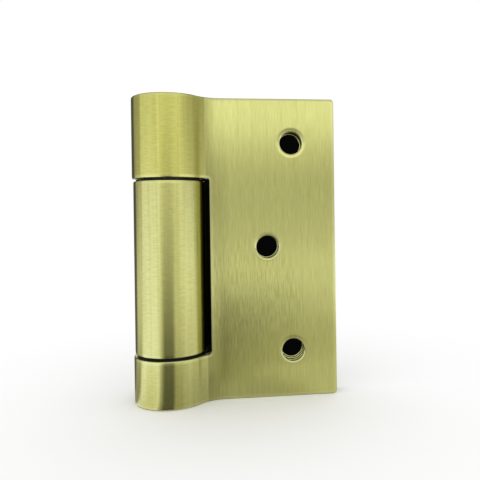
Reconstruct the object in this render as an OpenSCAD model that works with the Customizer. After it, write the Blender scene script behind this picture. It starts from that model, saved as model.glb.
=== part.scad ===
// Spring hinge with two leaves of bent sheet and a torsion spring in the barrel.
// Lengths in millimetres, angles in degrees.
// The Z axis is the hinge's pin axis and Z = 0 is the bottom end of the barrel.
// The leaves point along +X when the hinge is shut. The frame leaf is on the -Y side.

/* [Leaves] */
// height of both leaves and of the barrel
hinge_h = 101.6; // [98:0.1:110]
// distance from the pin axis to the leaves' long free edge
leaf_w = 56.1; // [50:0.1:65]
// thickness of the leaf sheet
sheet_t = 3.0; // [2.6:0.1:3.2]
// gap between the two leaves when the hinge is shut
shut_gap = 2.0; // [1.4:0.1:2.4]
// radius of the leaves' outer corners
corner_r = 1.2; // [0.6:0.1:3]
// radius of the notch corners beside the barrel
notch_corner_r = 1.0; // [0.6:0.1:1.2]
// gap between the leaves' notches and the upper and lower knuckles
notch_gap = 1.05; // [0.6:0.05:2]

/* [Barrel] */
// outside radius of the frame leaf's two knuckles
frame_knuckle_r = 12.4; // [12.2:0.1:13]
// how much smaller the door leaf's middle knuckle is, on the radius
knuckle_step = 0.4; // [0:0.1:0.6]
// radius of the hollow bend that joins a knuckle to its leaf, on the outer face
bend_r = 10.0; // [8:0.1:11.5]
// length of the upper knuckle
upper_knuckle_len = 27.05; // [25:0.05:30]
// length of the lower knuckle
lower_knuckle_len = 15.55; // [14.5:0.05:18]
// width of each split between two knuckles
split_gap = 0.9; // [0.8:0.05:1.4]
// angle at which the rolled sheet stops short of its own leaf
seam_angle = 6; // [4:0.5:7]

/* [Screw holes] */
// diameter of the screw holes
hole_d = 7.6; // [6.5:0.1:8]
// diameter of the countersinks in the leaves' inner faces
sink_d = 11.4; // [10.5:0.1:11.8]
// size of the broken edge around each hole on the outer face
lip = 0.4; // [0.2:0.05:0.5]
// distance from the pin axis to the upper and lower holes
outer_hole_x = 41.1; // [38:0.1:44]
// distance from the pin axis to the middle hole
middle_hole_x = 32.7; // [28:0.1:35]
// distance from the leaf's ends to the upper and lower holes, on average
end_hole_inset = 15.35; // [12:0.05:20]
// how far all the holes lie above the leaf's middle
hole_shift = 0.3; // [-1:0.1:1]

/* [Tension spindle] */
// running clearance of the spindle's head in the upper knuckle, on the radius
head_clearance = 0.05; // [0.03:0.01:0.08]
// running clearance of a journal in its bush, on the radius
journal_clearance = 0.05; // [0.03:0.01:0.08]
// distance across the flats of the key socket
key_flats = 5.0; // [4:0.5:6]
// depth of the key socket
key_depth = 9.0; // [6:0.5:12]
// distance from the top of the barrel to the locking pin and its slot
locking_pin_drop = 13.6; // [10:0.1:17]
// number of pin holes around the spindle's head
pin_hole_count = 6; // [6:1:8]
// metal left between the pin holes and the key socket
socket_wall = 1.85; // [1.4:0.05:2.2]
// length of the journal that stands out below its bush
journal_tail = 2.4; // [1:0.1:4]
// angle around the barrel of the slot's end that the pin rests against
slot_end_angle = 168; // [160:1:170]

/* [Pins] */
// diameter of the locking pin
locking_pin_d = 3.0; // [2.6:0.1:3.2]
// clearance of the locking pin in its hole, on the radius
pin_clearance = 0.05; // [0.03:0.01:0.08]
// gap above and below the locking pin in its slot
slot_clearance = 0.3; // [0.2:0.05:0.5]
// gap between the resting pin and the slot's end
pin_rest_gap = 0.05; // [0.03:0.01:0.1]
// how far each pin's outer end lies below the barrel's surface
pin_sink = 0.3; // [0.1:0.1:0.6]
// diameter of the pin that fixes the anchor spindle
anchor_pin_d = 3.0; // [2.6:0.1:3.2]
// height of the anchor pin above the middle knuckle's lower end
anchor_pin_rise = 6.55; // [5:0.05:8]
// length of the anchor pin inside the anchor spindle
anchor_pin_reach = 5.0; // [3:0.1:6]
// angle around the barrel of the anchor pin
anchor_pin_angle = 128; // [100:1:150]

/* [Torsion spring] */
// diameter of the spring wire
wire_d = 2.4; // [2.2:0.1:2.6]
// gap between the coils and the middle knuckle's bore
coil_clearance = 0.9; // [0.6:0.1:1.2]
// smallest gap between one turn of the coil and the next
turn_gap = 0.15; // [0.1:0.05:0.6]
// radius of the bend from the coil into each straight end
tang_bend_r = 1.9; // [1.6:0.1:2]
// clearance of the wire in the spindles' slots, on each side
tang_clearance = 0.1; // [0.05:0.05:0.3]
// how far each slot is cut into the shoulder behind it
slot_undercut = 0.4; // [0.2:0.1:1]
// gap between the coils and the part of a spindle that stands inside them
hub_clearance = 1.5; // [1.4:0.05:2]

/* [Anchor spindle] */
// length of the anchor spindle's body, up to the shoulder below the coil
anchor_len = 12.6; // [11:0.1:15]
// length of each spindle's slotted end
hub_len = 6.0; // [5:0.1:7]
// clearance of the anchor spindle in the middle knuckle, on the radius
anchor_clearance = 0.02; // [0.01:0.01:0.05]

/* [Bushes and caps] */
// thickness of the bush flanges that lie in the splits
flange_t = 0.6; // [0.5:0.05:0.7]
// thickness of the bushes' walls
bush_wall = 3.0; // [2.6:0.1:3.2]
// how far the flanges lie inside the knuckles' outer surface
flange_inset = 0.9; // [0.5:0.1:1.5]
// length of a bush inside its knuckle
bush_len = 8.0; // [6:0.5:9]
// thickness of the two end caps
cap_t = 3.0; // [2:0.1:4]
// radius of the key opening in the top cap
key_opening_r = 4.0; // [3.6:0.1:5]
// gap between an end cap and the spindle next to it
cap_gap = 0.3; // [0.2:0.05:0.6]
// gap between a spindle's body and the end of its knuckle
shoulder_gap = 0.2; // [0.1:0.05:0.4]
// size of the broken edges on the spindles, bushes and caps
edge = 0.4; // [0.2:0.1:0.5]

/* [Hidden] */
$fn = 96;
coil_steps = 24;
wire_sides = 10;
bend_steps = 6;
root_overlap = 0.1;
bend_swell = 0.01;
root_len = 2;
notch_x = frame_knuckle_r + notch_gap;
door_knuckle_r = frame_knuckle_r - knuckle_step;
frame_bore_r = frame_knuckle_r - sheet_t;
door_bore_r = door_knuckle_r - sheet_t;
hole_r = hole_d / 2;
sink_r = sink_d / 2;
journal_r = door_bore_r - bush_wall;
lower_journal_r = frame_bore_r - bush_wall;
middle_z0 = lower_knuckle_len + split_gap;
upper_z0 = hinge_h - upper_knuckle_len;
middle_z1 = upper_z0 - split_gap;
middle_hole_z = hinge_h / 2 + hole_shift;
hole_span = hinge_h - 2 * end_hole_inset;
upper_hole_z = middle_hole_z + hole_span / 2;
lower_hole_z = middle_hole_z - hole_span / 2;
head_r = frame_bore_r - head_clearance;
head_z0 = upper_z0 + shoulder_gap;
head_z1 = hinge_h - cap_t - cap_gap;
locking_pin_z = hinge_h - locking_pin_drop;
socket_r = key_flats / 2 / cos(30);
pin_hole_floor_r = socket_r + socket_wall;
pin_r = locking_pin_d / 2;
anchor_pin_z = middle_z0 + anchor_pin_rise;
anchor_top_z = middle_z0 + shoulder_gap + anchor_len;
coil_r = door_bore_r - coil_clearance - wire_d / 2;
slot_h = locking_pin_d + 2 * slot_clearance;
pin_half_angle = asin((pin_r + pin_rest_gap) / frame_bore_r);
pin_angle = slot_end_angle - pin_half_angle;
pin_step = 360 / pin_hole_count;
slot_start_angle = pin_angle - pin_step - pin_half_angle;
hub_r = coil_r - wire_d / 2 - hub_clearance;
tang_reach = hub_r - tang_clearance;
spring_z0 = anchor_top_z + tang_clearance + wire_d / 2;
spindle_low_z = middle_z1 - bush_len - journal_tail;
spring_z1 = spindle_low_z - tang_clearance - wire_d / 2;
coil_turns = floor((spring_z1 - spring_z0) / (wire_d + turn_gap));
tang_x = sqrt(pow(coil_r - tang_bend_r, 2) - pow(tang_bend_r, 2));
tang_angle = atan2(tang_bend_r, tang_x);
upper_tang_angle = -(2 * tang_angle + 360 * coil_turns);

// Bent sheet
// distance from the pin axis to where the bend of a knuckle of radius r ends
function bend_x(r) = sqrt(pow(r + bend_r, 2) - pow(shut_gap / 2 + sheet_t + bend_r, 2));

// angle of the line from the pin axis to the centre of that bend
function bend_angle(r) = atan2(shut_gap / 2 + sheet_t + bend_r, bend_x(r));

// wedge from the origin between two angles less than 180 degrees apart
module wedge(a0, a1, reach) {
    polygon([[0, 0], [reach * cos(a0), reach * sin(a0)],
        [reach * cos((a0 + a1) / 2), reach * sin((a0 + a1) / 2)] * 1.6,
        [reach * cos(a1), reach * sin(a1)]]);
}

// rolled knuckle and its bend, seen from above, for the leaf on the -Y side; the sheet
// swells a hair in the bend, so that knuckle and bend meet in clean edges
module rolled_sheet(r) {
    difference() {
        circle(r);
        circle(r - sheet_t);
        wedge(root_overlap - bend_angle(r), -seam_angle, 2 * r);
    }
    translate([bend_x(r), -shut_gap / 2 - sheet_t - bend_r]) {
        intersection() {
            difference() {
                circle(bend_r + sheet_t + bend_swell);
                circle(bend_r - bend_swell);
            }
            wedge(90, 180 - bend_angle(r), 2 * r);
        }
    }
    translate([bend_x(r), -shut_gap / 2 - sheet_t]) square([root_len, sheet_t]);
}

// rectangle with round corners
module round_rect(x0, y0, x1, y1, r) {
    translate([x0 + r, y0]) square([x1 - x0 - 2 * r, y1 - y0]);
    translate([x0, y0 + r]) square([x1 - x0, y1 - y0 - 2 * r]);
    for (x = [x0 + r, x1 - r]) {
        for (y = [y0 + r, y1 - r]) {
            translate([x, y]) circle(r);
        }
    }
}

// cutter for one screw hole, inner face at z = 0
module hole_cutter() {
    rotate_extrude() {
        polygon([[0, -1], [sink_r + 1, -1], [hole_r, sink_r - hole_r], [hole_r, sheet_t - lip],
            [hole_r + lip + 1, sheet_t + 1], [0, sheet_t + 1]]);
    }
}

// flat part of a leaf, drawn in x and height, inner face at z = 0
module leaf_plate(x0) {
    difference() {
        linear_extrude(height = sheet_t) {
            translate([x0, 0]) square([leaf_w - x0 - corner_r, hinge_h]);
            round_rect(x0 + root_len, 0, leaf_w, hinge_h, corner_r);
        }
        translate([outer_hole_x, upper_hole_z, 0]) hole_cutter();
        translate([middle_hole_x, middle_hole_z, 0]) hole_cutter();
        translate([outer_hole_x, lower_hole_z, 0]) hole_cutter();
    }
}

// leaf on the -Y side with knuckles of radius r, notched between the given heights
module bent_leaf(r, notches) {
    difference() {
        union() {
            linear_extrude(height = hinge_h) rolled_sheet(r);
            translate([0, -shut_gap / 2, 0]) rotate([90, 0, 0]) leaf_plate(bend_x(r));
        }
        for (n = notches) {
            translate([0, 2 * r, 0]) rotate([90, 0, 0]) linear_extrude(height = 4 * r)
                round_rect(-2 * r, n[0], notch_x, n[1], notch_corner_r);
        }
    }
}

// leaf that is screwed to the door frame, with the upper and lower knuckles
module frame_leaf() {
    color([0.71, 0.67, 0.36])
    difference() {
        bent_leaf(frame_knuckle_r, [[lower_knuckle_len, upper_z0]]);
        translate([0, 0, locking_pin_z - slot_h / 2]) rotate([0, 0, slot_start_angle])
            rotate_extrude(angle = slot_end_angle - slot_start_angle)
            translate([frame_bore_r - 1, 0]) square([sheet_t + 2, slot_h]);
    }
}

// leaf that is screwed to the door, with the middle knuckle
module door_leaf() {
    color([0.69, 0.65, 0.35])
    difference() {
        mirror([0, 1, 0]) bent_leaf(door_knuckle_r,
            [[-2 * notch_corner_r, middle_z0], [middle_z1, hinge_h + 2 * notch_corner_r]]);
        rotate([0, 0, anchor_pin_angle]) translate([door_bore_r - 1, 0, anchor_pin_z])
            rotate([0, 90, 0]) cylinder(h = sheet_t + 2, r = anchor_pin_d / 2);
    }
}

// Spindles
// turned bar with broken edges
module bar(r, z0, z1) {
    rotate_extrude() {
        polygon([[0, z0], [r - edge, z0], [r, z0 + edge], [r, z1 - edge], [r - edge, z1], [0, z1]]);
    }
}

// slot across a spindle's end for the spring's straight end
module tang_slot(z0, z1) {
    translate([-hub_r - 1, -wire_d / 2 - tang_clearance, z0])
        cube([2 * hub_r + 2, wire_d + 2 * tang_clearance, z1 - z0]);
}

// spindle that is turned with a key to wind the spring
module tension_spindle() {
    color([0.62, 0.62, 0.61])
    difference() {
        union() {
            bar(head_r, head_z0, head_z1);
            translate([0, 0, spindle_low_z])
                cylinder(h = head_z0 + 1 - spindle_low_z, r = journal_r);
            bar(hub_r, spindle_low_z - hub_len, spindle_low_z + 1);
        }
        translate([0, 0, head_z1 - key_depth])
            cylinder(h = key_depth + 1, r = socket_r, $fn = 6);
        for (i = [0 : pin_hole_count - 1]) {
            rotate([0, 0, pin_angle + i * pin_step])
                translate([pin_hole_floor_r, 0, locking_pin_z]) rotate([0, 90, 0])
                cylinder(h = head_r + 1 - pin_hole_floor_r, r = pin_r + pin_clearance);
        }
        rotate([0, 0, upper_tang_angle])
            tang_slot(spindle_low_z - hub_len - 1, spindle_low_z + slot_undercut);
    }
}

// pin that holds the wound spindle against the end of the slot
module locking_pin() {
    color([0.66, 0.66, 0.65])
    rotate([0, 0, pin_angle]) translate([pin_hole_floor_r + pin_clearance, 0, locking_pin_z])
        rotate([0, 90, 0])
        cylinder(h = frame_knuckle_r - pin_sink - pin_hole_floor_r - pin_clearance, r = pin_r);
}

// spindle fixed in the middle knuckle, with the lower journal
module anchor_spindle() {
    color([0.62, 0.62, 0.61])
    difference() {
        union() {
            bar(door_bore_r - anchor_clearance, middle_z0 + shoulder_gap, anchor_top_z);
            bar(lower_journal_r, cap_t + cap_gap, anchor_top_z - 1);
            bar(hub_r, anchor_top_z - 1, anchor_top_z + hub_len);
        }
        tang_slot(anchor_top_z - slot_undercut, anchor_top_z + hub_len + 1);
        rotate([0, 0, anchor_pin_angle])
            translate([door_bore_r - anchor_pin_reach, 0, anchor_pin_z])
            rotate([0, 90, 0]) cylinder(h = anchor_pin_reach + 1, r = anchor_pin_d / 2);
    }
}

// pin through the middle knuckle that fixes the anchor spindle
module anchor_pin() {
    color([0.69, 0.65, 0.35])
    rotate([0, 0, anchor_pin_angle])
        translate([door_bore_r - anchor_pin_reach, 0, anchor_pin_z]) rotate([0, 90, 0])
        cylinder(h = sheet_t + anchor_pin_reach - pin_sink, r = anchor_pin_d / 2);
}

// Torsion spring
// points of the wire's middle line, from the lower straight end to the upper one
lower_tang = concat([[-tang_reach, 0, 0]],
    [for (i = [0 : bend_steps])
        let (a = i * (90 + tang_angle) / bend_steps)
        [tang_x + tang_bend_r * sin(a), -tang_bend_r * (1 - cos(a)), 0]]);
coil_points = [for (i = [1 : coil_steps * coil_turns - 1])
    let (a = -tang_angle - i * 360 / coil_steps)
    [coil_r * cos(a), coil_r * sin(a),
        spring_z0 + (spring_z1 - spring_z0) * i / (coil_steps * coil_turns)]];
tang_count = len(lower_tang);
wire_points = concat(
    [for (p = lower_tang) [p[0], p[1], spring_z0]],
    coil_points,
    [for (i = [tang_count - 1 : -1 : 0])
        let (p = lower_tang[i], c = cos(upper_tang_angle), s = sin(upper_tang_angle))
        [p[0] * c + p[1] * s, p[0] * s - p[1] * c, spring_z1]]);
wire_count = len(wire_points);

// direction of the wire at point i
function wire_way(i) =
    let (d = wire_points[min(i + 1, wire_count - 1)] - wire_points[max(i - 1, 0)])
    d / norm(d);

// one ring of points around the wire at point i
function wire_ring(i) =
    let (t = wire_way(i), side = cross([0, 0, 1], t), n = side / norm(side), b = cross(t, n))
    [for (k = [0 : wire_sides - 1])
        wire_points[i] + wire_d / 2 * (cos(k * 360 / wire_sides) * n
            + sin(k * 360 / wire_sides) * b)];

// coil of round wire whose two straight ends cross the pin axis
module torsion_spring() {
    rings = [for (i = [0 : wire_count - 1]) each wire_ring(i)];
    sides = [for (i = [0 : wire_count - 2], k = [0 : wire_sides - 1])
        let (a = i * wire_sides, b = (i + 1) * wire_sides, m = (k + 1) % wire_sides)
        [a + k, b + k, b + m, a + m]];
    start_face = [for (k = [0 : wire_sides - 1]) k];
    end_face = [for (k = [wire_sides - 1 : -1 : 0]) (wire_count - 1) * wire_sides + k];
    color([0.35, 0.36, 0.38])
    polyhedron(points = rings, faces = concat(sides, [start_face], [end_face]));
}

// Bushes and caps
// flanged bush whose flange lies on the end of its knuckle at z = 0
module flanged_bush(bore_r, shaft_r, flange_r) {
    rotate_extrude() {
        polygon([[shaft_r + journal_clearance, -bush_len], [bore_r - edge, -bush_len],
            [bore_r, -bush_len + edge], [bore_r, 0], [flange_r, 0], [flange_r, flange_t],
            [shaft_r + journal_clearance, flange_t]]);
    }
}

// bush in the top of the middle knuckle
module upper_bush() {
    color([0.06, 0.06, 0.06])
    translate([0, 0, middle_z1])
        flanged_bush(door_bore_r, journal_r, door_knuckle_r - flange_inset);
}

// bush in the top of the lower knuckle
module lower_bush() {
    color([0.06, 0.06, 0.06])
    translate([0, 0, lower_knuckle_len])
        flanged_bush(frame_bore_r, lower_journal_r, door_knuckle_r - flange_inset);
}

// cap pressed into the upper knuckle, open for the key
module top_cap() {
    color([0.68, 0.64, 0.34])
    translate([0, 0, hinge_h - cap_t])
    rotate_extrude() {
        polygon([[key_opening_r, 0], [frame_bore_r, 0], [frame_bore_r, cap_t - edge],
            [frame_bore_r - edge, cap_t], [key_opening_r + edge, cap_t],
            [key_opening_r, cap_t - edge]]);
    }
}

// cap pressed into the lower knuckle
module bottom_cap() {
    color([0.68, 0.64, 0.34])
    rotate_extrude() {
        polygon([[0, 0], [frame_bore_r - edge, 0], [frame_bore_r, edge],
            [frame_bore_r, cap_t], [0, cap_t]]);
    }
}

frame_leaf();
door_leaf();
tension_spindle();
locking_pin();
torsion_spring();
anchor_spindle();
anchor_pin();
upper_bush();
lower_bush();
top_cap();
bottom_cap();
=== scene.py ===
import math

import bpy
import bmesh
from mathutils import Matrix, Vector
from mathutils.geometry import delaunay_2d_cdt
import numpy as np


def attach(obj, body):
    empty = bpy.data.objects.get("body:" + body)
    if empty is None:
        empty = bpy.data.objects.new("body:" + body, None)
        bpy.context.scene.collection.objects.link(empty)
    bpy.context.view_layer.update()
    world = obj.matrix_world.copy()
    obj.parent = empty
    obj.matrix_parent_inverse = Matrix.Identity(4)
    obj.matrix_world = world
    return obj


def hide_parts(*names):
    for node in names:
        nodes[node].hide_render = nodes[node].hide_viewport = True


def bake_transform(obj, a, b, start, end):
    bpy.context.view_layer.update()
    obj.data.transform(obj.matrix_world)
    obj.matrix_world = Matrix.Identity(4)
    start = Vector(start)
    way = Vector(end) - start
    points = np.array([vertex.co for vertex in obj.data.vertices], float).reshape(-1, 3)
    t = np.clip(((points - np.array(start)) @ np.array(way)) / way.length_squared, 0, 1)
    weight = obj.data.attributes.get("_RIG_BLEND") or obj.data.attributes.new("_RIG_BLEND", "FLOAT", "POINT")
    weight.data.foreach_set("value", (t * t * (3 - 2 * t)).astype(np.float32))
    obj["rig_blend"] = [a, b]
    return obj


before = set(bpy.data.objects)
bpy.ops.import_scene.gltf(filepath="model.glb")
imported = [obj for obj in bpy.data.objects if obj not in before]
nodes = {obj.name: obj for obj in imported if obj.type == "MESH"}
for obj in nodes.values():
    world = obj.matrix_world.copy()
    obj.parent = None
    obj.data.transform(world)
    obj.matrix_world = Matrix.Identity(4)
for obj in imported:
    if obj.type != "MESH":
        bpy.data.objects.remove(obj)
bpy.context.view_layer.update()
print("frame loaded:", ", ".join(sorted(nodes)))

mm = 0.001
snap = 1e-7  # points nearer than this are one
noiseSpan = (0.3, 0.7)  # where the values of a noise texture mostly lie


# node helpers: a value is plain, or a node with the name or number of its output

def emptyMaterial(name):
    material = bpy.data.materials.new(name)
    material.use_nodes = True
    material.node_tree.nodes.clear()
    return material


def addNode(tree, kind, at, **values):
    node = tree.nodes.new(kind)
    node.location = at
    for key, value in values.items():
        setattr(node, key, value)
    return node


def feed(tree, socket, value):
    if isinstance(value, tuple) and isinstance(value[0], bpy.types.Node):
        node, output = value
        tree.links.new(node.outputs[output], socket)
    else:
        socket.default_value = value


def setInputs(tree, node, **values):
    for key, value in values.items():
        feed(tree, node.inputs[key.replace("_", " ")], value)


def feedInOrder(tree, node, *values):
    for socket, value in zip(node.inputs, values):
        feed(tree, socket, value)


def mathNode(tree, at, operation, *values, clamp=False):
    node = addNode(tree, "ShaderNodeMath", at, operation=operation, use_clamp=clamp)
    feedInOrder(tree, node, *values)
    return node, "Value"


def vectorMath(tree, at, operation, *values):
    node = addNode(tree, "ShaderNodeVectorMath", at, operation=operation)
    feedInOrder(tree, node, *values)
    return node, "Value" if operation in ("LENGTH", "DISTANCE") else "Vector"


def splitVector(tree, at, vector):
    node = addNode(tree, "ShaderNodeSeparateXYZ", at)
    setInputs(tree, node, Vector=vector)
    return node


def noiseNode(tree, at, vector, dimensions="3D", **values):
    node = addNode(tree, "ShaderNodeTexNoise", at, noise_dimensions=dimensions)
    setInputs(tree, node, Vector=vector, **values)
    return node, "Fac"


def rangeNode(tree, at, value, low, high, toLow=0.0, toHigh=1.0):
    node = addNode(tree, "ShaderNodeMapRange", at)
    setInputs(tree, node, Value=value, From_Min=low, From_Max=high, To_Min=toLow, To_Max=toHigh)
    return node, "Result"


def attributeNode(tree, at, name):
    return addNode(tree, "ShaderNodeAttribute", at, attribute_name=name), "Fac"


def mixColors(tree, at, factor, first, second, blend="MIX"):
    # a mix node has its two colours in sockets 6 and 7, and the result in output 2
    node = addNode(tree, "ShaderNodeMix", at, data_type="RGBA", blend_type=blend)
    for k, value in ((0, factor), (6, first), (7, second)):
        feed(tree, node.inputs[k], value)
    return node, 2


def bumpNode(tree, at, height, strength, distance):
    node = addNode(tree, "ShaderNodeBump", at)
    setInputs(tree, node, Height=height, Strength=strength, Distance=distance)
    return node, "Normal"


def glowNode(tree, at, color, strength=1.0):
    node = addNode(tree, "ShaderNodeEmission", at)
    setInputs(tree, node, Color=color, Strength=strength)
    return node, "Emission"


def mixShaders(tree, at, factor, first, second):
    node = addNode(tree, "ShaderNodeMixShader", at)
    feedInOrder(tree, node, factor, first, second)
    return node, "Shader"


def showShader(tree, shader):
    output = addNode(tree, "ShaderNodeOutputMaterial", (1500, 0))
    setInputs(tree, output, Surface=shader)


def showPrincipled(tree, **values):
    node = addNode(tree, "ShaderNodeBsdfPrincipled", (1200, 0))
    setInputs(tree, node, **values)
    showShader(tree, (node, "BSDF"))


def addSocket(tree, name, direction, kind, default=None):
    item = tree.interface.new_socket(name=name, in_out=direction, socket_type=kind)
    if default is not None:
        item.default_value = default


def placeGroup(tree, group, at, **values):
    node = addNode(tree, "ShaderNodeGroup", at, node_tree=group)
    setInputs(tree, node, **values)
    return node


# helpers for objects and meshes

def linkObject(name, data):
    thing = bpy.data.objects.new(name, data)
    bpy.context.scene.collection.objects.link(thing)
    return thing


def meshObject(name, bm, *materials):
    data = bpy.data.meshes.new(name)
    bm.to_mesh(data)
    bm.free()
    for material in materials:
        data.materials.append(material)
    return linkObject(name, data)


def sliceMesh(bm, place, normal, **sides):
    everything = bm.verts[:] + bm.edges[:] + bm.faces[:]
    return bmesh.ops.bisect_plane(bm, geom=everything, dist=snap / 10, plane_co=place,
                                  plane_no=normal, **sides)


def share(value, low, high):
    # 0 at low and before it, 1 at high and past it
    return min(1.0, max(0.0, (value - low) / (high - low)))


# shared effect groups: each gives out only masks and heights

def makeGrainGroup():
    # streaks left by a brush, long along V and close together along U
    tree = bpy.data.node_groups.new("brushGrain", "ShaderNodeTree")
    addSocket(tree, "Vector", "INPUT", "NodeSocketVector")
    addSocket(tree, "Streaks per mm", "INPUT", "NodeSocketFloat", 8.0)
    addSocket(tree, "Streak length mm", "INPUT", "NodeSocketFloat", 12.0)
    addSocket(tree, "Fine", "OUTPUT", "NodeSocketFloat")
    addSocket(tree, "Broad", "OUTPUT", "NodeSocketFloat")
    inNode = addNode(tree, "NodeGroupInput", (-900, 0))
    outNode = addNode(tree, "NodeGroupOutput", (600, 0))
    split = splitVector(tree, (-700, 200), (inNode, "Vector"))
    across = mathNode(tree, (-700, 0), "MULTIPLY", (inNode, "Streaks per mm"), 1 / mm)
    along = mathNode(tree, (-700, -200), "DIVIDE", 1 / mm, (inNode, "Streak length mm"))
    joined = addNode(tree, "ShaderNodeCombineXYZ", (-300, 100))
    setInputs(tree, joined,
              X=mathNode(tree, (-500, 200), "MULTIPLY", (split, "X"), across),
              Y=mathNode(tree, (-500, 0), "MULTIPLY", (split, "Y"), along))
    fine = noiseNode(tree, (-100, 200), (joined, "Vector"), "2D",
                     Scale=1.0, Detail=4.0, Roughness=0.62)
    # broad streaks are wider and longer
    slow = vectorMath(tree, (-100, -100), "MULTIPLY", (joined, "Vector"), (0.3, 0.6, 1.0))
    broad = noiseNode(tree, (100, -100), slow, "2D", Scale=1.0, Detail=2.0, Roughness=0.5)
    setInputs(tree, outNode, Fine=fine, Broad=broad)
    return tree


def makeMarksGroup():
    # faint clouds and handling marks over a face
    tree = bpy.data.node_groups.new("handlingMarks", "ShaderNodeTree")
    addSocket(tree, "Vector", "INPUT", "NodeSocketVector")
    addSocket(tree, "Cloud size mm", "INPUT", "NodeSocketFloat", 20.0)
    addSocket(tree, "Clouds", "OUTPUT", "NodeSocketFloat")
    addSocket(tree, "Specks", "OUTPUT", "NodeSocketFloat")
    inNode = addNode(tree, "NodeGroupInput", (-700, 0))
    outNode = addNode(tree, "NodeGroupOutput", (500, 0))
    place = (inNode, "Vector")
    scale = mathNode(tree, (-500, -100), "DIVIDE", 1 / mm, (inNode, "Cloud size mm"))
    clouds = noiseNode(tree, (-300, 100), place, Scale=scale, Detail=3.0, Roughness=0.55)
    specks = noiseNode(tree, (-300, -200), place, Scale=900.0, Detail=2.0, Roughness=0.7)
    setInputs(tree, outNode, Clouds=clouds, Specks=specks)
    return tree


brushGrain = makeGrainGroup()
handlingMarks = makeMarksGroup()


# the two rolled leaves share sheet, bend, holes and edges

rolledLeaf = {
    "sheet": 3.0 * mm,
    "shutGap": 2.0 * mm,
    "bendRadius": 10.0 * mm,
    "height": 101.6 * mm,
    "freeEdge": 56.1 * mm,
    "cornerRadius": 1.2 * mm,
    "flapCorner": 0.5 * mm,
    "notchRadius": 1.0 * mm,
    "notchEdge": 13.45 * mm,
    "notchBlend": 3.0 * mm,
    "seamAngle": math.radians(6),
    "cutEvery": math.radians(3.0),
    "bendCuts": 16,
    "sharpAngle": math.radians(32),
    # broken edges, worn bright: wear is 1 on the rim and fades over the face beside it
    "edgeRadius": 0.32 * mm,
    "edgeSteps": 5,
    "wearWidth": 0.9 * mm,
    "wearDrop": 0.045 * mm,
    "faceWear": 0.4,
    "edgeHalo": 0.45,
    "holeHalo": 0.15,
    # screw holes: round lip outside, ridges left by the drill, countersink inside
    "holes": [(41.1 * mm, 86.55 * mm), (32.7 * mm, 51.1 * mm), (41.1 * mm, 15.65 * mm)],
    "holeRadius": 3.8 * mm,
    "holeSegments": 56,
    "holeLip": 0.65 * mm,
    "holeLipDepth": 0.45 * mm,
    "sinkRadius": 5.7 * mm,
    "sinkBevel": 0.1 * mm,
    # each ridge: shares of its depth and of its part of the wall, and the wear there, below zero for painted
    # shade in the groove
    "drillRidge": 0.12 * mm,
    "ridges": 3,
    "ridgeRows": [(1, 0.2, -0.9), (0, 0.32, -0.6)],
    # each step of the countersink: shares of its width and of its drop, and the wear there: a painted
    # highlight on the rim of the step, and below zero painted shade on its face
    "sinkSteps": 4,
    "stepRows": [(0.05, 0.02, 0.5), (0.55, 0.15, 0.5), (0.65, 0.3, -0.9), (0.95, 0.95, -0.9)],
    # shade above a hole on the outer face, and in the upper part of its countersink
    "lipShade": 0.34,
    "sinkShade": 0.96,
    "sinkDark": (-0.3, 0.2),
    "shadeReach": 0.54 * mm,
    # painted shade in the fold and beside the border of the two finishes, fading out towards the top of the
    # leaf, and a painted highlight line along the border
    "finishEdge": 12.35 * mm,
    "foldShadeReach": 3.0 * mm,
    "foldShadeDepth": 0.85,
    "borderShadingReach": 9.0 * mm,
    "borderHighlight": 0.5,
    "borderSlack": 0.01 * mm,
    "brightTop": (68.0 * mm, 92.0 * mm),
    "yellowFrom": (73.7 * mm, 74.5 * mm),
    # on the flat blank: distance from the end of the bend, height
    "scratchSpot": (7.0 * mm, 33.0 * mm, 0.0),
    "scratchReach": (5.0 * mm, 22.0 * mm),
}


# brushed brass of the leaves: grain runs up the flat, and round the rolled knuckles

brassFinish = {
    # worn edges and painted highlights take the first tone, painted shade the dark one
    "wearAndSheenTone": (0.70, 0.70, 0.33, 1),
    "wearAndSheenShare": 0.7,
    "shadeTone": (0.018, 0.017, 0.008, 1),
    "toneBalance": 0.6,
    "broadContrast": 0.06,
    "linesPerMm": 0.9,
    "lineLengthMm": 60.0,
    "cloudSizeMm": 16.0,
    "bumpStrength": 0.5,
}

leafFinish = {
    **brassFinish,
    "tone": (0.545, 0.54, 0.185, 1),
    "deepTone": (0.42, 0.41, 0.128, 1),
    "roughness": (0.28, 0.32),
    "anisotropy": 0.94,
    "grainTurn": 0.0,
    "streaksPerMm": 4.0,
    "streakLengthMm": 5.5,
    "streakContrast": 0.36,
    "rollLines": 0.16,
    "scratchDepth": 4.6,
    "borderShading": 0.34,
    "grainHeight": 0.024 * mm,
}

knuckleFinish = {
    **brassFinish,
    "tone": (0.55, 0.54, 0.19, 1),
    "deepTone": (0.47, 0.455, 0.145, 1),
    "roughness": (0.22, 0.26),
    "anisotropy": 0.9,
    "grainTurn": 0.25,  # of a whole turn, so the grain lies round the barrel
    "streaksPerMm": 2.8,
    "streakLengthMm": 2.4,
    "streakContrast": 0.45,
    "rollLines": 0.42,
    "upperTint": (0.97, 0.96, 0.74, 1),
    "borderShading": 0.18,
    "grainHeight": 0.010 * mm,
}


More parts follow.
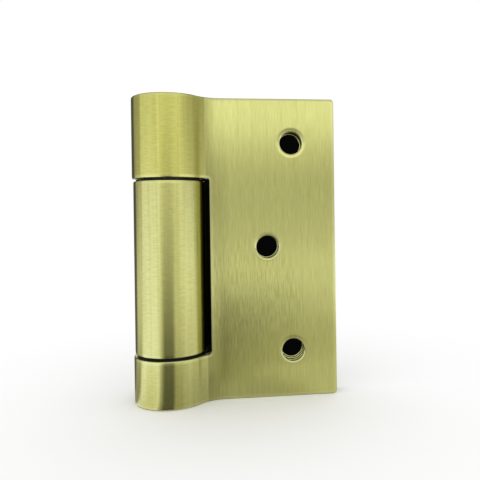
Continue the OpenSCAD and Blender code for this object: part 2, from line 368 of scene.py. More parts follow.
def streakTones(tree, finish, flat, grain):
    # fine and broad streaks and long roll lines swing between the two tones
    lines = placeGroup(tree, brushGrain, (-650, 450), Vector=flat,
                       Streaks_per_mm=finish["linesPerMm"],
                       Streak_length_mm=finish["lineLengthMm"])
    swings = []
    for source, amount in (((grain, "Fine"), finish["streakContrast"]),
                           ((grain, "Broad"), finish["broadContrast"]),
                           ((lines, "Fine"), finish["rollLines"])):
        swings.append(rangeNode(tree, (-400, 200 * len(swings)), source, *noiseSpan,
                                -amount, amount))
    if "scratchDepth" in finish:  # deeper about one spot low on the leaf
        away = vectorMath(tree, (-650, 650), "DISTANCE", flat, rolledLeaf["scratchSpot"])
        deeper = rangeNode(tree, (-400, 650), away, *rolledLeaf["scratchReach"],
                           finish["scratchDepth"], 1.0)
        swings[0] = mathNode(tree, (-250, 300), "MULTIPLY", swings[0], deeper)
    balance = finish["toneBalance"]
    for k, swing in enumerate(swings):
        balance = mathNode(tree, (-100 + 120 * k, 150), "ADD", swing, balance)
    return mixColors(tree, (300, 200), balance, finish["deepTone"], finish["tone"])


def wearHighlightAndShadeTones(tree, finish, color):
    # worn bright edges with painted highlights, then painted shade in the fold, round the holes and along
    # the border of the two finishes
    wear = mathNode(tree, (300, -50), "MULTIPLY", attributeNode(tree, (100, -50), "wearSheenAndShade"),
                    finish["wearAndSheenShare"])
    color = mixColors(tree, (450, 200), wear, color, finish["wearAndSheenTone"])
    borderShading = mathNode(tree, (300, -250), "MULTIPLY",
                       attributeNode(tree, (100, -250), "paintedBorderShade"), finish["borderShading"])
    dark = mathNode(tree, (450, -150), "MAXIMUM", attributeNode(tree, (300, -150), "paintedShade"),
                    borderShading)
    return mixColors(tree, (600, 200), dark, color, finish["shadeTone"])


def brushedBrass(name, finish):
    material = emptyMaterial(name)
    tree = material.node_tree
    flat = (addNode(tree, "ShaderNodeUVMap", (-1100, 0), uv_map="flatPattern"), "UV")
    turn = addNode(tree, "ShaderNodeMapping", (-900, 0))
    setInputs(tree, turn, Vector=flat, Rotation=(0, 0, 2 * math.pi * finish["grainTurn"]))
    grain = placeGroup(tree, brushGrain, (-650, 150), Vector=(turn, "Vector"),
                       Streaks_per_mm=finish["streaksPerMm"],
                       Streak_length_mm=finish["streakLengthMm"])
    place = addNode(tree, "ShaderNodeTexCoord", (-900, -300))
    marks = placeGroup(tree, handlingMarks, (-650, -250), Vector=(place, "Object"),
                       Cloud_size_mm=finish["cloudSizeMm"])
    color = wearHighlightAndShadeTones(tree, finish, streakTones(tree, finish, flat, grain))
    if "upperTint" in finish:  # the upper knuckle is yellower
        split = splitVector(tree, (450, 400), (place, "Object"))
        upper = rangeNode(tree, (600, 400), (split, "Z"), *rolledLeaf["yellowFrom"])
        color = mixColors(tree, (750, 200), upper, color, finish["upperTint"], "MULTIPLY")
    # roughness follows the clouds
    rough = rangeNode(tree, (750, -100), (marks, "Clouds"), *noiseSpan, *finish["roughness"])
    scratches = bumpNode(tree, (750, -300), (grain, "Fine"), finish["bumpStrength"],
                         finish["grainHeight"])
    tangent = addNode(tree, "ShaderNodeTangent", (750, -500), direction_type="UV_MAP",
                      uv_map="flatPattern")
    showPrincipled(tree, Base_Color=color, Roughness=rough, Normal=scratches, Metallic=1.0,
                   Tangent=(tangent, "Tangent"), Anisotropic=finish["anisotropy"],
                   Anisotropic_Rotation=finish["grainTurn"])
    return material


leafBrass = brushedBrass("leafBrass", leafFinish)
knuckleBrass = brushedBrass("knuckleBrass", knuckleFinish)


# turned steel, spring wire, nylon and the brass of the caps

innerFinishes = {
    "spindleSteel": {
        "pieces": ("tension_spindle", "anchor_spindle", "locking_pin", "anchor_pin"),
        "tones": ((0.294, 0.294, 0.287, 1), (0.42, 0.42, 0.41, 1)),
        "roughness": (0.28, 0.43),
        "metallic": 1.0,
        "specular": 0.5,
        "cloudSizeMm": 6.0,
        "grooves": (40, 40, 6000),  # left by the lathe, close together along the pin axis
        "bump": (0.25, 0.02 * mm),
    },
    "springSteel": {
        "pieces": ("torsion_spring",),
        "tones": ((0.084, 0.084, 0.0875, 1), (0.12, 0.12, 0.125, 1)),
        "roughness": (0.35, 0.5),
        "metallic": 1.0,
        "specular": 0.5,
        "cloudSizeMm": 6.0,
        "grooves": (40, 40, 1000),
        "bump": (0.25, 0.02 * mm),
    },
    "blackNylon": {
        "pieces": ("upper_bush", "lower_bush"),
        "tones": ((0.002, 0.002, 0.002, 1), (0.005, 0.005, 0.005, 1)),
        "roughness": (0.5, 0.7),
        "metallic": 0.0,
        "specular": 0.15,
        "cloudSizeMm": 4.0,
        "bump": (0.3, 0.03 * mm),
    },
    "capBrass": {
        "pieces": ("top_cap", "bottom_cap"),
        "tones": (leafFinish["deepTone"], leafFinish["tone"]),
        "roughness": (0.25, 0.4),
        "metallic": 1.0,
        "specular": 0.5,
        "cloudSizeMm": 7.0,
        "rings": 900.0,  # left by the lathe on a flat face
        "bump": (0.2, 0.02 * mm),
    },
}


def innerMaterial(name):
    look = innerFinishes[name]
    material = emptyMaterial(name)
    tree = material.node_tree
    place = (addNode(tree, "ShaderNodeTexCoord", (-900, 0)), "Object")
    marks = placeGroup(tree, handlingMarks, (-450, -250), Vector=place,
                       Cloud_size_mm=look["cloudSizeMm"])
    shift, relief = (marks, "Clouds"), (marks, "Specks")
    if "grooves" in look:
        stretch = addNode(tree, "ShaderNodeMapping", (-700, 0))
        setInputs(tree, stretch, Vector=place, Scale=look["grooves"])
        shift = noiseNode(tree, (-450, 0), (stretch, "Vector"), Scale=1.0, Detail=3.0)
        relief = shift
    if "rings" in look:
        rings = addNode(tree, "ShaderNodeTexWave", (-450, 300), wave_type="RINGS",
                        rings_direction="Z")
        setInputs(tree, rings, Vector=place, Scale=look["rings"], Distortion=2.0, Detail=2.0)
        relief = (rings, "Fac")
    showPrincipled(
        tree, Metallic=look["metallic"], Specular_IOR_Level=look["specular"],
        Base_Color=mixColors(tree, (0, 100), shift, *look["tones"]),
        Roughness=rangeNode(tree, (0, -100), (marks, "Clouds"), *noiseSpan, *look["roughness"]),
        Normal=bumpNode(tree, (200, -300), relief, *look["bump"]))
    return material


for finishName, finish in innerFinishes.items():
    material = innerMaterial(finishName)
    for nodeName in finish["pieces"]:
        nodes[nodeName].data.materials.clear()
        nodes[nodeName].data.materials.append(material)
print("materials made, inner pieces dressed")


# rolled leaves: each is cut flat as one blank, its edges are broken, and it is rolled

def sheetLayout(knuckleRadius):
    # lengths and angles of one leaf's profile, measured on the middle of the sheet
    half = rolledLeaf["sheet"] / 2
    midRadius = knuckleRadius - half
    bendMid = rolledLeaf["bendRadius"] + half
    flatY = rolledLeaf["shutGap"] / 2 + half
    bendX = math.sqrt((midRadius + bendMid) ** 2 - (flatY + bendMid) ** 2)
    tangent = math.atan2(flatY + bendMid, bendX)
    bendLength = bendMid * (math.pi / 2 - tangent)
    ringLength = midRadius * (2 * math.pi - tangent + rolledLeaf["seamAngle"])
    notchTurn = math.asin((bendX - rolledLeaf["notchEdge"]) / bendMid)
    finishTurn = math.asin((bendX - rolledLeaf["finishEdge"]) / rolledLeaf["bendRadius"])
    return {
        "half": half, "midRadius": midRadius, "bendMid": bendMid, "flatY": flatY,
        "bendX": bendX, "tangent": tangent, "bendLength": bendLength,
        "knuckleRadius": knuckleRadius, "tip": -(bendLength + ringLength),
        "free": rolledLeaf["freeEdge"] - bendX, "notchTurn": notchTurn,
        "notchAt": -bendMid * notchTurn, "finishAt": -bendMid * finishTurn,
    }


def rollPoint(layout, s, h, v, side):
    # s runs along the sheet from the end of the bend, h across it towards the outer face
    if s >= 0:
        x, y = layout["bendX"] + s, -(layout["flatY"] + h)
    elif s >= -layout["bendLength"]:
        reach = layout["bendMid"] - h
        a = -s / layout["bendMid"]
        # the notch's wall stands square to the leaf, not to the bent sheet
        near = share(abs(s - layout["notchAt"]), rolledLeaf["notchBlend"], 0)
        square = math.asin((layout["bendX"] - rolledLeaf["notchEdge"]) / reach)
        a += (square - layout["notchTurn"]) * near * near * (3 - 2 * near)
        x = layout["bendX"] - reach * math.sin(a)
        y = -(layout["flatY"] + layout["bendMid"]) + reach * math.cos(a)
    else:
        a = -layout["tangent"] - (-s - layout["bendLength"]) / layout["midRadius"]
        reach = layout["midRadius"] + h
        x, y = reach * math.cos(a), reach * math.sin(a)
    return Vector((x, y * side, v))


def ringPlace(layout, angle):
    # distance along the flat blank of a direction round the barrel, as rolled on the -Y side
    turn = (-layout["tangent"] - angle) % (2 * math.pi)
    return -layout["bendLength"] - turn * layout["midRadius"]


def roundedLoop(corners, steps=6):
    # closed loop, counter-clockwise, with a radius at each corner
    points = []
    count = len(corners)
    for i, (x, y, radius) in enumerate(corners):
        corner = Vector((x, y))
        before = Vector(corners[i - 1][:2])
        after = Vector(corners[(i + 1) % count][:2])
        toBefore = (before - corner).normalized()
        toAfter = (after - corner).normalized()
        middle = (toBefore + toAfter).normalized()
        halfAngle = toBefore.angle(toAfter) / 2
        centre = corner + middle * (radius / math.sin(halfAngle))
        first = corner + toBefore * (radius / math.tan(halfAngle)) - centre
        last = corner + toAfter * (radius / math.tan(halfAngle)) - centre
        sweep = first.angle_signed(last)
        for k in range(steps + 1):
            t = -sweep * k / steps
            c, s = math.cos(t), math.sin(t)
            points.append(centre + Vector((first.x * c - first.y * s, first.x * s + first.y * c)))
    return points


def insetLoop(points, amount):
    # moves a counter-clockwise loop inwards by amount
    moved = []
    count = len(points)
    for i, p in enumerate(points):
        a = (p - points[i - 1]).normalized()
        b = (points[(i + 1) % count] - p).normalized()
        normal = Vector((-(a.y + b.y), a.x + b.x)).normalized()
        spread = max(0.3, math.sqrt(max(0.0, (1 + a.dot(b)) / 2)))  # limited at sharp corners
        moved.append(p + normal * (amount / spread))
    return moved


def circleLoop(centre, radius, count, squeeze=1.0):
    return [Vector((centre[0] + squeeze * radius * math.cos(2 * math.pi * k / count),
                    centre[1] + radius * math.sin(2 * math.pi * k / count)))
            for k in range(count)]


def rimRows(width, depth, half, halo):
    # (distance from the wall, height, wear) from the face round the worn rim to the wall
    wear, drop = rolledLeaf["wearWidth"], rolledLeaf["wearDrop"]
    least, steps = rolledLeaf["faceWear"], rolledLeaf["edgeSteps"]
    rows = [(width + wear, half, 0.0), (width + wear / 2, half - drop / 4, halo)]
    for k in range(steps + 1):
        a = math.pi / 2 * k / steps
        rows.append((width * (1 - math.sin(a)), half - drop - (depth - drop) * (1 - math.cos(a)),
                     least + (1 - least) * math.sin(a)))
    return rows


def holeRings(centre, half):
    # rings of one screw hole, from the outer face to the inner one
    radius, sink = rolledLeaf["holeRadius"], rolledLeaf["sinkRadius"]
    lip, depth = rolledLeaf["holeLip"], rolledLeaf["holeLipDepth"]
    rows = [(radius + away, height, wear)
            for away, height, wear in rimRows(lip, depth, half, rolledLeaf["holeHalo"])]
    # the ridges and steps carry painted highlights on their rims and painted shade in their grooves
    ridge, count = rolledLeaf["drillRidge"], rolledLeaf["ridges"]
    sinkTop = -half + (sink - radius)
    wall = half - depth - sinkTop
    for k in range(count):
        top = half - depth - wall * k / count
        rows += [(radius + ridge * out, top - wall * down, wear)
                 for out, down, wear in rolledLeaf["ridgeRows"]]
    step = (sink - radius) / rolledLeaf["sinkSteps"]
    for k in range(rolledLeaf["sinkSteps"]):
        rows += [(radius + step * (k + out), sinkTop - step * (k + down), wear)
                 for out, down, wear in rolledLeaf["stepRows"]]
    rim = sink + rolledLeaf["sinkBevel"]
    rows += [(rim, -half, rolledLeaf["faceWear"]), (rim + rolledLeaf["wearWidth"], -half, 0.0)]
    return [(circleLoop(centre, r, rolledLeaf["holeSegments"]), h, w) for r, h, w in rows]


def straightRings(loop, half, outwards):
    # rings of an outline or of a plain opening, from the outer face to the inner one
    radius = rolledLeaf["edgeRadius"]
    outer = rimRows(radius, radius, half, rolledLeaf["edgeHalo"])
    rows = outer + [(inset, -h, w) for inset, h, w in reversed(outer)]
    return [(insetLoop(loop, -inset if outwards else inset), h, w) for inset, h, w in rows]


def findVert(mesh, point, height, wear=0.0):
    key = tuple(round(c / snap) for c in (point.x, point.y, height))
    if key not in mesh["verts"]:
        vert = mesh["bm"].verts.new((point.x, height, point.y))
        vert[mesh["wear"]] = wear
        mesh["verts"][key] = vert
    return mesh["verts"][key]


def insideLoop(point, loop):
    inside = False
    for k, a in enumerate(loop):
        b = loop[k - 1]
        if (a.y > point.y) != (b.y > point.y):
            if point.x < (b.x - a.x) * (point.y - a.y) / (b.y - a.y) + a.x:
                inside = not inside
    return inside


def fillFace(mesh, loops, height):
    # flat triangles between the outline and the openings
    points, edges = [], []
    for loop in loops:
        first = len(points)
        points += loop
        edges += [(first + k, first + (k + 1) % len(loop)) for k in range(len(loop))]
    made = delaunay_2d_cdt(points, edges, [], 1, snap)
    coords, triangles = made[0], made[2]
    for tri in triangles:
        centre = sum((coords[i] for i in tri), Vector((0, 0))) / 3
        if any(insideLoop(centre, loop) for loop in loops[1:]):
            continue
        corners = [findVert(mesh, coords[i], height) for i in tri]
        if len(set(corners)) == 3:
            mesh["bm"].faces.new(corners)


def flatBlank(outline, openings, half):
    # the sheet before it is rolled, as one closed mesh that holds the wear of its edges, with painted
    # highlights and painted shade in its holes
    bm = bmesh.new()
    mesh = {"bm": bm, "verts": {}, "wear": bm.verts.layers.float.new("wearSheenAndShade")}
    stacks = [straightRings(outline, half, outwards=False)] + openings
    for stack in stacks:
        for (upper, hUpper, wUpper), (lower, hLower, wLower) in zip(stack, stack[1:]):
            count = len(upper)
            for k in range(count):
                m = (k + 1) % count
                quad = [findVert(mesh, upper[k], hUpper, wUpper),
                        findVert(mesh, upper[m], hUpper, wUpper),
                        findVert(mesh, lower[m], hLower, wLower),
                        findVert(mesh, lower[k], hLower, wLower)]
                if len(set(quad)) == 4:
                    bm.faces.new(quad)
    for end, height in ((0, half), (-1, -half)):
        fillFace(mesh, [stack[end][0] for stack in stacks], height)
    return bm


def cutBlank(bm, layout):
    # across at every few degrees of the roll, and where the finish changes and painted shade begins or ends
    ringStart, bendCuts = -layout["bendLength"], rolledLeaf["bendCuts"]
    ringStep = rolledLeaf["cutEvery"] * layout["midRadius"]
    cuts = [ringStart - k * ringStep for k in range(int(2 * math.pi / rolledLeaf["cutEvery"]))]
    cuts += [ringStart * k / bendCuts for k in range(bendCuts)]
    cuts += [layout["finishAt"], rolledLeaf["foldShadeReach"]]
    for cut in cuts:
        sliceMesh(bm, (cut, 0, 0), (1, 0, 0))
    for cut in rolledLeaf["brightTop"]:
        sliceMesh(bm, (0, 0, cut), (0, 0, 1))


def holeSide(layout, s, v):
    # 1 straight above a screw hole, -1 straight below it, -2 away from all holes
    reach = rolledLeaf["holeRadius"] + rolledLeaf["holeLip"] + rolledLeaf["shadeReach"]
    for x, z in rolledLeaf["holes"]:
        offset = Vector((s + layout["bendX"] - x, v - z))
        if 0 < offset.length < reach:
            return offset.y / offset.length
    return -2.0


def markAndRoll(bm, layout, side):
    # keeps the flat coordinates for the grain, marks wear, painted highlights and painted shade, and rolls
    # the blank
    half, border = layout["half"], layout["finishAt"]
    paintedShade = bm.verts.layers.float.new("paintedShade")
    paintedBorderShade = bm.verts.layers.float.new("paintedBorderShade")
    wearSheenAndShade = bm.verts.layers.float["wearSheenAndShade"]
    flat = bm.loops.layers.uv.new("flatPattern")
    for face in bm.faces:
        face.smooth = True
        face.material_index = 1 if face.calc_center_median().x < border else 0
        for loop in face.loops:
            loop[flat].uv = (loop.vert.co.x, loop.vert.co.z)
    for vert in bm.verts:
        s, h, v = vert.co
        outer = h > 0
        # painted shade on the inner face near the bend, where the fold lies in shade
        fold = share(rolledLeaf["foldShadeDepth"] - h / half, 0, 1) * share(s, rolledLeaf["foldShadeReach"], 0)
        # painted shade above each hole on the outer face and in the upper part of each countersink, with no
        # wear there
        up = holeSide(layout, s, v)
        above = max(0.0, up) ** 2 if outer else share(up, *rolledLeaf["sinkDark"])
        shade = rolledLeaf["lipShade"] if outer else rolledLeaf["sinkShade"]
        # a wear below zero stands for painted shade in a groove of a hole
        vert[paintedShade] = max(fold, -vert[wearSheenAndShade], shade * above)
        vert[wearSheenAndShade] = max(0.0, vert[wearSheenAndShade]) * (1 - above)
        # a painted highlight line along the border of the two finishes
        if abs(border - s) < rolledLeaf["borderSlack"] and outer:
            vert[wearSheenAndShade] = max(rolledLeaf["borderHighlight"], vert[wearSheenAndShade])
        # painted shade beside the border, fading out towards the top of the flat leaf
        vert[paintedBorderShade] = share(abs(border - s), rolledLeaf["borderShadingReach"], 0)
        if s > border:
            low, high = rolledLeaf["brightTop"]
            vert[paintedBorderShade] *= share(v, high, low)
        vert.co = rollPoint(layout, s, h, v, side)


def makeLeaf(name, outline, openings, layout, side):
    bm = flatBlank(outline, openings, layout["half"])
    cutBlank(bm, layout)
    markAndRoll(bm, layout, side)
    bmesh.ops.recalc_face_normals(bm, faces=bm.faces[:])
    leaf = meshObject(name, bm, leafBrass, knuckleBrass)
    leaf.data.set_sharp_from_angle(angle=rolledLeaf["sharpAngle"])
    weighted = leaf.modifiers.new("faceNormals", "WEIGHTED_NORMAL")
    weighted.keep_sharp = True
    weighted.weight = 100
    return leaf


frameLeafShape = {
    "knuckleRadius": 12.4 * mm,
    "lowerKnuckleTop": 15.55 * mm,
    "upperKnuckleBottom": 74.55 * mm,
    "slotMiddle": 88.0 * mm,
    "slotHeight": 3.6 * mm,
    "slotEnds": (math.radians(89.0), math.radians(168.0)),
    "slotCorner": 0.6 * mm,
}

doorLeafShape = {
    "knuckleRadius": 12.0 * mm,
    "bottom": 16.45 * mm,
    "top": 73.65 * mm,
    "pinHeight": 23.0 * mm,
    "pinAngle": math.radians(128.0),
    "pinRadius": 1.5 * mm,
    "pinSegments": 32,
}


def screwHoles(layout):
    return [holeRings((x - layout["bendX"], z), layout["half"]) for x, z in rolledLeaf["holes"]]


def makeFrameLeaf():
    shape = frameLeafShape
    layout = sheetLayout(shape["knuckleRadius"])
    tip, notch, free = layout["tip"], layout["notchAt"], layout["free"]
    height, corner = rolledLeaf["height"], rolledLeaf["cornerRadius"]
    tight, inner = rolledLeaf["flapCorner"], rolledLeaf["notchRadius"]
    low, high = shape["lowerKnuckleTop"], shape["upperKnuckleBottom"]
    outline = roundedLoop([
        (tip, 0, tight), (free, 0, corner), (free, height, corner), (tip, height, tight),
        (tip, high, tight), (notch, high, inner), (notch, low, inner), (tip, low, tight)])
    start, end = sorted(ringPlace(layout, a) for a in shape["slotEnds"])
    bottom = shape["slotMiddle"] - shape["slotHeight"] / 2
    top = shape["slotMiddle"] + shape["slotHeight"] / 2
    slot = roundedLoop([(x, z, shape["slotCorner"])
                        for x, z in ((start, bottom), (end, bottom), (end, top), (start, top))])
    openings = screwHoles(layout) + [straightRings(slot, layout["half"], outwards=True)]
    return makeLeaf("frameLeaf", outline, openings, layout, side=1)


def makeDoorLeaf():
    shape = doorLeafShape
    layout = sheetLayout(shape["knuckleRadius"])
    tip, notch, free = layout["tip"], layout["notchAt"], layout["free"]
    height, corner = rolledLeaf["height"], rolledLeaf["cornerRadius"]
    tight, inner = rolledLeaf["flapCorner"], rolledLeaf["notchRadius"]
    low, high = shape["bottom"], shape["top"]
    outline = roundedLoop([
        (notch, 0, tight), (free, 0, corner), (free, height, corner), (notch, height, tight),
        (notch, high, inner), (tip, high, tight), (tip, low, tight), (notch, low, inner)])
    squeeze = layout["midRadius"] / layout["knuckleRadius"]
    pinPlace = (ringPlace(layout, -shape["pinAngle"]), shape["pinHeight"])
    pinHole = circleLoop(pinPlace, shape["pinRadius"], shape["pinSegments"], squeeze)
    openings = screwHoles(layout) + [straightRings(pinHole, layout["half"], outwards=True)]
    return makeLeaf("doorLeaf", outline, openings, layout, side=-1)


frameLeaf = makeFrameLeaf()
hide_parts("frame_leaf")
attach(frameLeaf, "frame_side")
doorLeaf = makeDoorLeaf()
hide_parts("door_leaf")
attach(doorLeaf, "door_side")
print("leaves rolled:", len(frameLeaf.data.polygons), len(doorLeaf.data.polygons), "faces")


# the coil is cut in two, because a piece bends across one joint only

spring = {"lowerEnd": 30.5 * mm, "middle": 46.25 * mm, "upperEnd": 62.0 * mm}


def halfCoil(name, below):
    # part of the coil below or above its middle, closed where it is cut
    rigid = nodes["torsion_spring"]
    bm = bmesh.new()
    bm.from_mesh(rigid.data)
    bm.transform(rigid.matrix_world)
    bmesh.ops.remove_doubles(bm, verts=bm.verts[:], dist=snap)
    cut = sliceMesh(bm, (0, 0, spring["middle"]), (0, 0, 1), clear_outer=below,
                    clear_inner=not below)
    rim = [item for item in cut["geom_cut"] if isinstance(item, bmesh.types.BMEdge)]
    bmesh.ops.triangle_fill(bm, edges=rim, use_beauty=True, normal=(0, 0, 1 if below else -1))
    bmesh.ops.recalc_face_normals(bm, faces=bm.faces[:])
    coil = meshObject(name, bm, *rigid.data.materials)
    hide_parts("torsion_spring")
    return coil


# the lower half winds with the door leaf, the upper half with the key, the middle stays still
lowerCoil = halfCoil("lowerCoil", below=True)
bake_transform(lowerCoil, "door_side", "frame_side", start=(0, 0, spring["lowerEnd"]),
         end=(0, 0, spring["middle"]))
upperCoil = halfCoil("upperCoil", below=False)
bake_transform(upperCoil, "frame_side", "winder", start=(0, 0, spring["middle"]),
         end=(0, 0, spring["upperEnd"]))
print("coil halved")


# studio

studio = {
    "white": 1.0,
    "floorSize": 3.0,
    "floorAt": (0.02, 0.0, -0.0001),
    "floorTone": (0.97, 0.97, 0.97, 1),
    "floorFade": (0.05, 0.14),  # metres from the hinge over which it turns into the backdrop
    "coolLight": (0.80, 0.84, 1.0),
    # azimuth in degrees from -Y towards +X, distance and height in metres
    "leftBox": {"azimuth": -58, "far": 0.50, "height": 0.14, "size": (0.60, 0.30), "glow": 0.10},
    "topBox": {"azimuth": 4, "far": 0.62, "height": 0.235, "size": (1.30, 0.12), "glow": 1.0},
    "overheadCard": {"at": (0.02, 0.06, 0.45), "size": (0.80, 0.38),
                     "focus": (0.02, 0, 0.05), "tone": (0.05, 0.05, 0.05, 1)},
    # the patches below: where their azimuth is measured from, and their tints
    "patchCentreY": -0.006,
    "plain": (1.0, 1.0, 1.0),
    "cool": (0.97, 1.0, 1.28),
}

# what the brass mirrors: soft patches of light and shade on the floor and on a round wall.
# azimuth in degrees as above, reach in metres (away from the pin, or up the wall)

floorLight = {
    "size": 1.5,
    "height": 0.0003,
    "near": (0.42, 0.4116, 0.3192, 1),
    "far": (1.12, 1.12, 1.12, 1),
    "nearReach": (0.03, 0.2),
    "patches": [
        {"azimuth": (-97, -32), "soft": 12, "reach": (0, 2), "softReach": 0.1, "level": 1.45,
         "tint": "cool"},
        {"azimuth": (-165, -127), "soft": 10, "reach": (0, 2), "softReach": 0.1, "level": 0.15},
        {"azimuth": (36, 86), "soft": 14, "reach": (0.24, 2), "softReach": 0.2, "level": 2.0,
         "tint": "cool"},
        {"azimuth": (40, 115), "soft": 16, "reach": (0, 0.045), "softReach": 0.02, "level": 0.6},
        {"azimuth": (44, 95), "soft": 16, "reach": (0.045, 0.14), "softReach": 0.02, "level": 0.9},
        {"azimuth": (100, 130), "soft": 20, "reach": (0, 2), "softReach": 0.1, "level": 0.5},
        {"azimuth": (-22, 14), "soft": 11, "reach": (-1, 0.27), "softReach": 0.2, "level": 0.05},
        {"azimuth": (-78, -38), "soft": 12, "reach": (0, 0.05), "softReach": 0.02, "level": 1.05},
    ],
}

wallLight = {
    "radius": 0.75,
    "foot": -0.01,
    "top": 0.9,
    "segments": 96,
    "near": (0.95, 0.95, 0.95, 1),
    "patches": [
        {"azimuth": (-93, -26), "soft": 4, "reach": (-1, 0.16), "softReach": 0.1, "level": 1.3,
         "tint": "cool"},
        {"azimuth": (-126, -93), "soft": 4, "reach": (-1, 2), "softReach": 0.1, "level": 0.5},
        {"azimuth": (-165, -126), "soft": 8, "reach": (-1, 2), "softReach": 0.1, "level": 0.1},
        {"azimuth": (-112, -94), "soft": 6, "reach": (-1, 0.12), "softReach": 0.04, "level": 0.85},
        {"azimuth": (14, 60), "soft": 14, "reach": (0.08, 0.2), "softReach": 0.06, "level": 0.8},
        {"azimuth": (-14, 14), "soft": 14, "reach": (-1, 0.15), "softReach": 0.06, "level": 0.6},
        {"azimuth": (60, 140), "soft": 44, "reach": (-1, 2), "softReach": 0.1, "level": 0.62},
        {"azimuth": (38, 84), "soft": 20, "reach": (-1, 0.06), "softReach": 0.06, "level": 1.4,
         "tint": "cool"},
        {"azimuth": (-70, 60), "soft": 20, "reach": (0.33, 0.8), "softReach": 0.1, "level": 1.0},
    ],
}


def aimAt(thing, place, focus):
    forward = (Vector(focus) - Vector(place)).normalized()
    thing.rotation_euler = forward.to_track_quat("-Z", "Y").to_euler()
    thing.location = place


def softBox(name):
    # lamp that stands upright at some distance from the pin and faces it
    box = studio[name]
    lamp = bpy.data.lights.new(name, "AREA")
    lamp.shape = "RECTANGLE"
    lamp.size, lamp.size_y = box["size"]
    lamp.color = studio["coolLight"]
    lamp.energy = box["glow"] * math.pi * lamp.size * lamp.size_y
    thing = linkObject(name, lamp)
    azimuth = math.radians(box["azimuth"])
    place = (box["far"] * math.sin(azimuth), -box["far"] * math.cos(azimuth), box["height"])
    aimAt(thing, place, (0, 0, box["height"]))
    thing.visible_camera = False


for boxName in ("leftBox", "topBox"):
    softBox(boxName)


def whiteWorld():
    world = bpy.data.worlds.new("studioWorld")
    bpy.context.scene.world = world
    world.use_nodes = True
    tree = world.node_tree
    tree.nodes.clear()
    sky = addNode(tree, "ShaderNodeBackground", (0, 0))
    setInputs(tree, sky, Color=(1, 1, 1, 1), Strength=studio["white"])
    output = addNode(tree, "ShaderNodeOutputWorld", (200, 0))
    setInputs(tree, output, Surface=(sky, "Background"))


whiteWorld()


def stagePlane(name, size, material):
    width, depth = size
    data = bpy.data.meshes.new(name)
    data.from_pydata([(-width / 2, -depth / 2, 0), (width / 2, -depth / 2, 0),
                      (width / 2, depth / 2, 0), (-width / 2, depth / 2, 0)], [],
                     [(0, 1, 2, 3)])
    data.materials.append(material)
    plane = linkObject(name, data)
    return plane


def paleFloor():
    # fades into the white backdrop away from the hinge
    material = emptyMaterial("paleFloor")
    tree = material.node_tree
    pale = addNode(tree, "ShaderNodeBsdfDiffuse", (300, 100))
    setInputs(tree, pale, Color=studio["floorTone"])
    glow = glowNode(tree, (300, -100), (1, 1, 1, 1), studio["white"])
    place = addNode(tree, "ShaderNodeTexCoord", (-600, 0))
    away = vectorMath(tree, (-400, 0), "LENGTH", (place, "Object"))
    fade = rangeNode(tree, (-150, 0), away, *studio["floorFade"])
    showShader(tree, mixShaders(tree, (700, 0), fade, (pale, "BSDF"), glow))
    floor = stagePlane("floor", (studio["floorSize"], studio["floorSize"]), material)
    floor.location = studio["floorAt"]


paleFloor()


def reflectionOnly(thing):
    thing.visible_camera = False
    thing.visible_shadow = False
    thing.visible_diffuse = False
    thing.visible_transmission = False


def windowGroup():
    # one inside a span, zero outside it, with soft ends
    tree = bpy.data.node_groups.new("softWindow", "ShaderNodeTree")
    for name in ("Value", "From", "To", "Soft"):
        addSocket(tree, name, "INPUT", "NodeSocketFloat", 0.0)
    addSocket(tree, "Mask", "OUTPUT", "NodeSocketFloat")
    inNode = addNode(tree, "NodeGroupInput", (-700, 0))
    outNode = addNode(tree, "NodeGroupOutput", (700, 0))
    half = mathNode(tree, (-500, -200), "MULTIPLY", (inNode, "Soft"), 0.5)
    ramps = []
    for k, side in enumerate(("From", "To")):
        ramp = addNode(tree, "ShaderNodeMapRange", (0, -200 * k),
                       interpolation_type="SMOOTHSTEP")
        setInputs(tree, ramp, Value=(inNode, "Value"),
                  From_Min=mathNode(tree, (-300, -200 * k), "SUBTRACT", (inNode, side), half),
                  From_Max=mathNode(tree, (-150, -200 * k), "ADD", (inNode, side), half))
        ramps.append((ramp, "Result"))
    setInputs(tree, outNode, Mask=mathNode(tree, (300, 0), "SUBTRACT", *ramps, clamp=True))
    return tree


softWindow = windowGroup()


def patchedGlow(name, light, reachAxis):
    material = emptyMaterial(name)
    tree = material.node_tree
    place = (addNode(tree, "ShaderNodeTexCoord", (-900, 0)), "Object")
    split = splitVector(tree, (-700, 0), place)
    ahead = mathNode(tree, (-500, 0), "SUBTRACT", studio["patchCentreY"], (split, "Y"))
    angle = mathNode(tree, (-300, 0), "ARCTAN2", (split, "X"), ahead)
    azimuth = mathNode(tree, (-100, 0), "MULTIPLY", angle, math.degrees(1.0))
    reach = (split, "Z")
    if reachAxis == "XY":
        reach = vectorMath(tree, (-300, -200), "LENGTH", place)
    color = light["near"]
    if "far" in light:
        fade = rangeNode(tree, (0, 200), reach, *light["nearReach"])
        color = mixColors(tree, (150, 200), fade, light["near"], light["far"])
    for patch in light["patches"]:
        across = placeGroup(tree, softWindow, (300, -200), Value=azimuth,
                            From=patch["azimuth"][0], To=patch["azimuth"][1], Soft=patch["soft"])
        along = placeGroup(tree, softWindow, (300, -400), Value=reach,
                           From=patch["reach"][0], To=patch["reach"][1], Soft=patch["softReach"])
        both = mathNode(tree, (500, -300), "MULTIPLY", (across, "Mask"), (along, "Mask"))
        tint = studio[patch.get("tint", "plain")]
        level = tuple(patch["level"] * c for c in tint) + (1,)
        color = mixColors(tree, (700, 0), both, color, level)
    showShader(tree, glowNode(tree, (1300, 0), color))
    return material


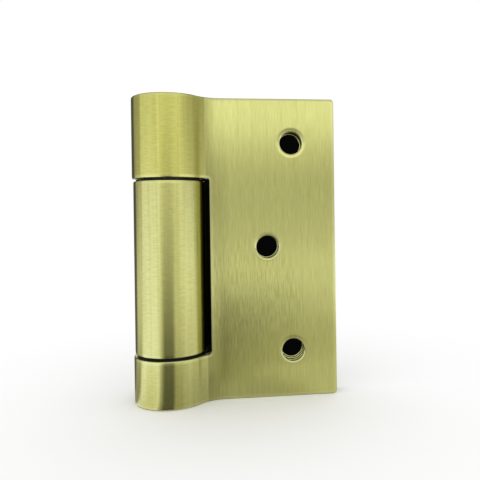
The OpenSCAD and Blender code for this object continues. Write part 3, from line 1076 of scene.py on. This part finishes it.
def roundWall():
    radius, count = wallLight["radius"], wallLight["segments"]
    verts, faces = [], []
    for k in range(count):
        a = 2 * math.pi * k / count
        verts += [(radius * math.sin(a), -radius * math.cos(a), z)
                  for z in (wallLight["foot"], wallLight["top"])]
        m = (k + 1) % count
        faces.append((2 * k, 2 * m, 2 * m + 1, 2 * k + 1))
    data = bpy.data.meshes.new("roundWall")
    data.from_pydata(verts, [], faces)
    data.materials.append(patchedGlow("wallLight", wallLight, "Z"))
    wall = linkObject("roundWall", data)
    reflectionOnly(wall)


def litFloor():
    size = (floorLight["size"], floorLight["size"])
    sheet = stagePlane("litFloor", size, patchedGlow("floorLight", floorLight, "XY"))
    sheet.location.z = floorLight["height"]
    reflectionOnly(sheet)


def overheadCard():
    card = studio["overheadCard"]
    material = emptyMaterial("overheadCard")
    tree = material.node_tree
    showShader(tree, glowNode(tree, (0, 0), card["tone"]))
    thing = stagePlane("overheadCard", card["size"], material)
    aimAt(thing, card["at"], card["focus"])
    reflectionOnly(thing)


roundWall()
litFloor()
overheadCard()


# what shows through holes and notch is dark in the photo: small one-sided shades behind them

seeThrough = {
    "tone": (0.002, 0.002, 0.002, 1),
    "discRadius": 3.85 * mm,
    "discSegments": 40,
    "discY": 3.0 * mm,
    "slack": 0.2 * mm,
    "cornerY": -2.3 * mm,
    "cornerSize": (2.8 * mm, 3.2 * mm),
    "corners": [(12.2 * mm, 73.3 * mm), (12.2 * mm, 16.8 * mm)],
}


def oneSidedDark(name, restY):
    # dark from in front, and only while the door leaf is shut
    material = emptyMaterial(name)
    tree = material.node_tree
    side = addNode(tree, "ShaderNodeNewGeometry", (-600, 200))
    split = splitVector(tree, (-400, 100), (side, "Position"))
    shut = mathNode(tree, (-200, 100), "COMPARE", (split, "Y"), restY, seeThrough["slack"])
    away = mathNode(tree, (0, 100), "SUBTRACT", 1.0, shut)
    unseen = mathNode(tree, (200, 200), "MAXIMUM", (side, "Backfacing"), away)
    dark = glowNode(tree, (0, 0), seeThrough["tone"])
    clear = addNode(tree, "ShaderNodeBsdfTransparent", (0, -150))
    showShader(tree, mixShaders(tree, (400, 0), unseen, dark, (clear, "BSDF")))
    return material


def cameraOnly(thing):
    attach(thing, "door_side")
    thing.visible_shadow = False
    thing.visible_diffuse = False
    thing.visible_glossy = False
    thing.visible_transmission = False


def shadeHoles():
    bm = bmesh.new()
    for spot in rolledLeaf["holes"]:
        loop = circleLoop(spot, seeThrough["discRadius"], seeThrough["discSegments"])
        bm.faces.new([bm.verts.new((p.x, seeThrough["discY"], p.y)) for p in loop])
    cameraOnly(meshObject("holeShade", bm, oneSidedDark("holeShade", seeThrough["discY"])))


def shadeCorners():
    material = oneSidedDark("cornerShade", seeThrough["cornerY"])
    for k, (x, z) in enumerate(seeThrough["corners"]):
        strip = stagePlane("cornerShade%d" % k, seeThrough["cornerSize"], material)
        strip.rotation_euler = (math.radians(90), 0, 0)
        strip.location = (x, seeThrough["cornerY"], z)
        cameraOnly(strip)


shadeHoles()
shadeCorners()
print("studio lit")


# camera, from the fit to the photo

view = {
    "at": (0.02108, -0.1890, 0.06202),
    "yaw": 0.1233,
    "pitch": -0.001,
    "roll": -0.014,
    "focalPixels": 542.9,
    "centre": (300.1, 214.9),
    "imageWidth": 480.0,
    "sensor": 36.0,
    "clipStart": 0.01,
}


def placeCamera():
    lens = bpy.data.cameras.new("studioCamera")
    camera = linkObject("studioCamera", lens)
    forward = Vector((math.sin(view["yaw"]) * math.cos(view["pitch"]),
                      math.cos(view["yaw"]) * math.cos(view["pitch"]), math.sin(view["pitch"])))
    right = Vector((math.cos(view["yaw"]), -math.sin(view["yaw"]), 0))
    up = right.cross(forward)
    tilted = right * math.cos(view["roll"]) + up * math.sin(view["roll"])
    upright = up * math.cos(view["roll"]) - right * math.sin(view["roll"])
    turn = Matrix((tilted, upright, -forward)).transposed()
    camera.matrix_world = Matrix.Translation(view["at"]) @ turn.to_4x4()
    lens.sensor_width = view["sensor"]
    lens.lens = view["focalPixels"] * view["sensor"] / view["imageWidth"]
    middle = view["imageWidth"] / 2
    lens.shift_x = (middle - view["centre"][0]) / view["imageWidth"]
    lens.shift_y = (view["centre"][1] - middle) / view["imageWidth"]
    lens.clip_start = view["clipStart"]
    bpy.context.scene.camera = camera


placeCamera()
bpy.context.scene.view_settings.view_transform = "Standard"
print("camera placed")
